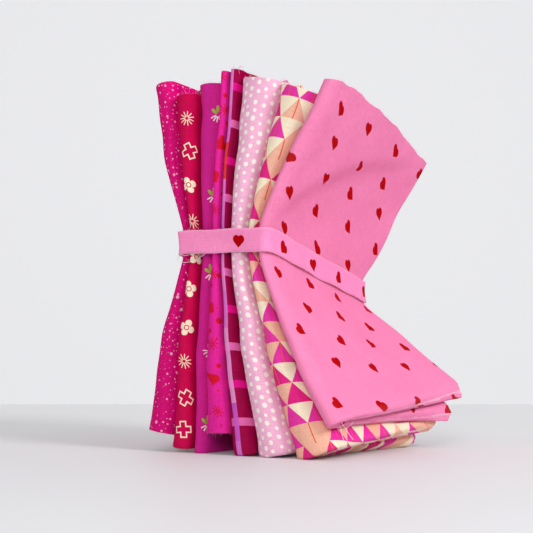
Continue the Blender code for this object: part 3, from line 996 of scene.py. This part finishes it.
def pyramids(cloth):
    """The traditional tessellation of equal triangles, in cream, peach and magenta."""
    width, height = 15.5, 12.4
    row_place = cloth.div(cloth.v, height)
    row = cloth.math("FLOOR", row_place)
    up = cloth.sub(row_place, row)
    odd = cloth.math("PINGPONG", row, 1.0)
    place = cloth.add(cloth.div(cloth.add(cloth.u, 3.0), width), cloth.mul(odd, 0.5))
    column = cloth.math("FLOOR", place)
    along = cloth.sub(place, column)
    half_up = cloth.mul(up, 0.5)
    left = cloth.sub(along, half_up)
    right = cloth.sub(cloth.sub(1.0, half_up), along)
    inside = cloth.least(left, right)
    points_up = cloth.math("GREATER_THAN", inside, 0.0)
    to_left = cloth.math("LESS_THAN", left, 0.0)
    down_number = cloth.sub(column, to_left)
    chances_up = cloth.chance(column, row, 71)
    chances_down = cloth.chance(down_number, row, 72)
    magenta, rose = (0.80, 0.030, 0.36), (0.76, 0.010, 0.22)
    cream, peach = (0.92, 0.80, 0.58), (0.88, 0.46, 0.33)
    strong = cloth.blended(cloth.math("GREATER_THAN", chances_up[0], 0.62), magenta, rose)
    warm = cloth.blended(cloth.math("GREATER_THAN", chances_up[1], 0.84), strong, peach)
    soft = cloth.blended(cloth.math("GREATER_THAN", chances_down[0], 0.62), cream, peach)
    colour = cloth.blended(points_up, soft, warm)
    middle = cloth.mul(cloth.math("ABSOLUTE", cloth.sub(along, 0.5)), width)
    line = cloth.mul(cloth.below(middle, 0.32, 0.2), points_up)
    line = cloth.mul(line, cloth.math("GREATER_THAN", chances_up[2], 0.35))
    return cloth.blended(line, colour, (0.80, 0.10, 0.03))


HEART_RED = (0.44, 0.0015, 0.003)
HEART_WIDTH = 8.2
HIGH_PRINT_START = 3.0  # height on the cloth at which the spacing above the strip begins


def heart_ground(cloth):
    return cloth.ground(0.05, (0.84, 0.215, 0.42), (0.88, 0.250, 0.460))


def tossed_hearts(cloth, width, height, start, **repeat):
    x, y, chances = cloth.repeats(width, height, 83, start=start, wander=3.5, **repeat)
    x, y = cloth.turned(x, y, cloth.mul(cloth.sub(chances[2], 0.5), 2.4))
    return cloth.heart(x, y, HEART_WIDTH)


# Below the lowest row on the face comes a wider gap, so that the next row lies on the fold.
LOWEST_ROW = -80.0
ROW_GAP = 9.5
ROW_GAP_REACH = 18.0


def hearts(cloth):
    """Pink with tossed dark red hearts, closer together below the strip than above it."""
    past = cloth.div(cloth.sub(LOWEST_ROW, cloth.v), ROW_GAP_REACH)
    past = cloth.least(cloth.most(past, 0.0), 1.0)
    spread = cloth.add(cloth.v, cloth.mul(past, ROW_GAP))
    low = tossed_hearts(cloth, 19.0, 38.6, (2.5, 1.7), v=spread)
    high = tossed_hearts(cloth, 42.0, 19.2, (8.5, 2.4), drop=0.0, lean=0.58)
    above = cloth.math("GREATER_THAN", cloth.v, HIGH_PRINT_START)
    marks = cloth.add(cloth.mul(high, above), cloth.mul(low, cloth.sub(1.0, above)))
    return cloth.blended(marks, heart_ground(cloth), HEART_RED)


def strip_hearts_painted_lighter(cloth):
    """The same print, cut so that one row of hearts runs along the strip, with its pink ground
    painted lighter and cooler than the hearts quarter's: painted light for the front light on the
    strip.
    """
    marks = tossed_hearts(cloth, 36.0, 30.0, (28.0, -15.0), drop=0.0)
    marks = cloth.mul(marks, cloth.math("GREATER_THAN", cloth.u, 30.0))
    # painted light: the hearts quarter's pink, made lighter and cooler where the front light falls on
    # the strip
    ground = cloth.ground(0.05, (0.93, 0.26, 0.51), (0.97, 0.30, 0.56))
    return cloth.blended(marks, ground, HEART_RED)


PRINTS = {
    "quarter_1_speckled": (speckled, (0.90, 0.35, 0.55)),
    "quarter_2_flowers": (flowers, (0.85, 0.25, 0.35)),
    "quarter_3_sprigs": (sprigs, (0.85, 0.35, 0.60)),
    "quarter_4_dots": (dots, (0.92, 0.35, 0.60)),
    "quarter_5_plaid": (plaid, (0.75, 0.25, 0.40)),
    "quarter_6_dotted": (dotted, (0.93, 0.78, 0.85)),
    "quarter_7_triangles": (pyramids, (0.95, 0.85, 0.78)),
    "quarter_8_hearts": (hearts, (0.95, 0.60, 0.72)),
    "tie_strip": (strip_hearts_painted_lighter, (0.95, 0.60, 0.72)),
}


def printed_cottons(name):
    """The right side of a cotton and its paler wrong side."""
    draw, fade = PRINTS[name]
    made = []
    for reverse in (False, True):
        cloth = Cloth(name + ("_reverse" if reverse else "_print"))
        made.append(finish_cotton(cloth, draw(cloth), reverse, fade))
    return made


# ---------------------------------------------------------------- the stage
# Level edges, square to the camera, in metres: how far back each is and how high. Its glow is how
# much light the surface itself gives off there, which keeps the background pale behind the stack.
StageEdge = namedtuple("StageEdge", "back up glow")
STAGE_EDGES = (
    StageEdge(-4.0, 0.0, 0.0),
    StageEdge(-0.1, 0.0, 0.0),
    StageEdge(0.60, 0.0, 0.19),
    StageEdge(3.2, -2.0, 0.60),
    StageEdge(3.2, 4.0, 0.60),
)
TABLE_FACES = (0, 1)  # the nearer edge of each face
WALL_FACE = 3
STAGE_HALF_WIDTH = 5.0
CAMERA_TURN = math.radians(33.0)
CAMERA_PITCH = math.radians(4.0137554)
CAMERA_PLACE = (435.66, -569.92, 61.0)
CAMERA_LENS = 80.37523  # in millimetres, on a sensor 36 mm wide
SENSOR_WIDTH = 36.0


def pale(name, colour, roughness):
    """A plain pale surface that gives off a little light where its glow attribute says so."""
    material = bpy.data.materials.new(name)
    material.use_nodes = True
    shader = material.node_tree.nodes["Principled BSDF"]
    shader.inputs["Base Color"].default_value = colour
    shader.inputs["Roughness"].default_value = roughness
    shader.inputs["Emission Color"].default_value = colour
    glow = material.node_tree.nodes.new("ShaderNodeAttribute")
    glow.attribute_name = "glow"
    material.node_tree.links.new(shader.inputs["Emission Strength"], glow.outputs["Fac"])
    return material


def make_stage():
    """A pale table top and, well behind it, a pale wall, both square to the camera."""
    cos, sin = math.cos(CAMERA_TURN), math.sin(CAMERA_TURN)
    corners = []
    glows = []
    for edge in STAGE_EDGES:
        for across in (-STAGE_HALF_WIDTH, STAGE_HALF_WIDTH):
            corners.append((across * cos - edge.back * sin, across * sin + edge.back * cos, edge.up))
            glows.append(edge.glow)
    starts = [2 * near for near in (*TABLE_FACES, WALL_FACE)]
    mesh = bpy.data.meshes.new("stage")
    mesh.from_pydata(corners, [], [(start, start + 1, start + 3, start + 2) for start in starts])
    mesh.attributes.new("glow", "FLOAT", "POINT").data.foreach_set("value", glows)
    mesh.materials.append(pale("stage_table", (0.74, 0.74, 0.75, 1.0), 0.55))
    mesh.materials.append(pale("stage_wall", (0.80, 0.80, 0.81, 1.0), 0.9))
    mesh.polygons[len(TABLE_FACES)].material_index = 1
    floor = linked("stage", mesh)


Lamp = namedtuple("Lamp", "name place width power colour")
LAMPS = (
    Lamp("key", (0.70, -1.55, 0.70), 0.6, 12.0, (1.0, 0.99, 0.98)),
    Lamp("left", (-1.30, -0.80, 0.70), 0.8, 2.5, (1.0, 0.99, 0.98)),
    Lamp("right", (1.50, -0.25, 0.95), 0.5, 17.0, (0.99, 0.99, 1.0)),
    Lamp("above", (0.3, -0.1, 1.7), 1.4, 6.0, (1.0, 1.0, 1.0)),
)
AIM = Vector((0.0, 0.0, 0.11))
SKY = (0.93, 0.95, 1.0, 1.0)
SKY_STRENGTH = 0.30


def make_lamps():
    for lamp in LAMPS:
        light = bpy.data.lights.new(lamp.name, "AREA")
        light.energy = lamp.power
        light.size = lamp.width
        light.color = lamp.colour
        made = linked(lamp.name, light)
        made.location = lamp.place
        made.rotation_euler = (AIM - made.location).to_track_quat("-Z", "Y").to_euler()
    world = bpy.data.worlds.new("studio")
    world.use_nodes = True
    background = world.node_tree.nodes["Background"]
    background.inputs["Color"].default_value = SKY
    background.inputs["Strength"].default_value = SKY_STRENGTH
    bpy.context.scene.world = world


def make_camera():
    data = bpy.data.cameras.new("camera")
    data.lens = CAMERA_LENS
    data.sensor_width = SENSOR_WIDTH
    camera = linked("camera", data)
    camera.location = in_frame(CAMERA_PLACE)
    camera.rotation_euler = (math.pi / 2.0 + CAMERA_PITCH, 0.0, CAMERA_TURN)
    bpy.context.scene.camera = camera


for index, quarter_row in enumerate(QUARTERS):
    make_quarter(index, printed_cottons(quarter_row.name))
make_strip(printed_cottons("tie_strip"))
make_loose_threads()
make_stage()
make_lamps()
make_camera()
bpy.context.scene.view_settings.view_transform = "Standard"
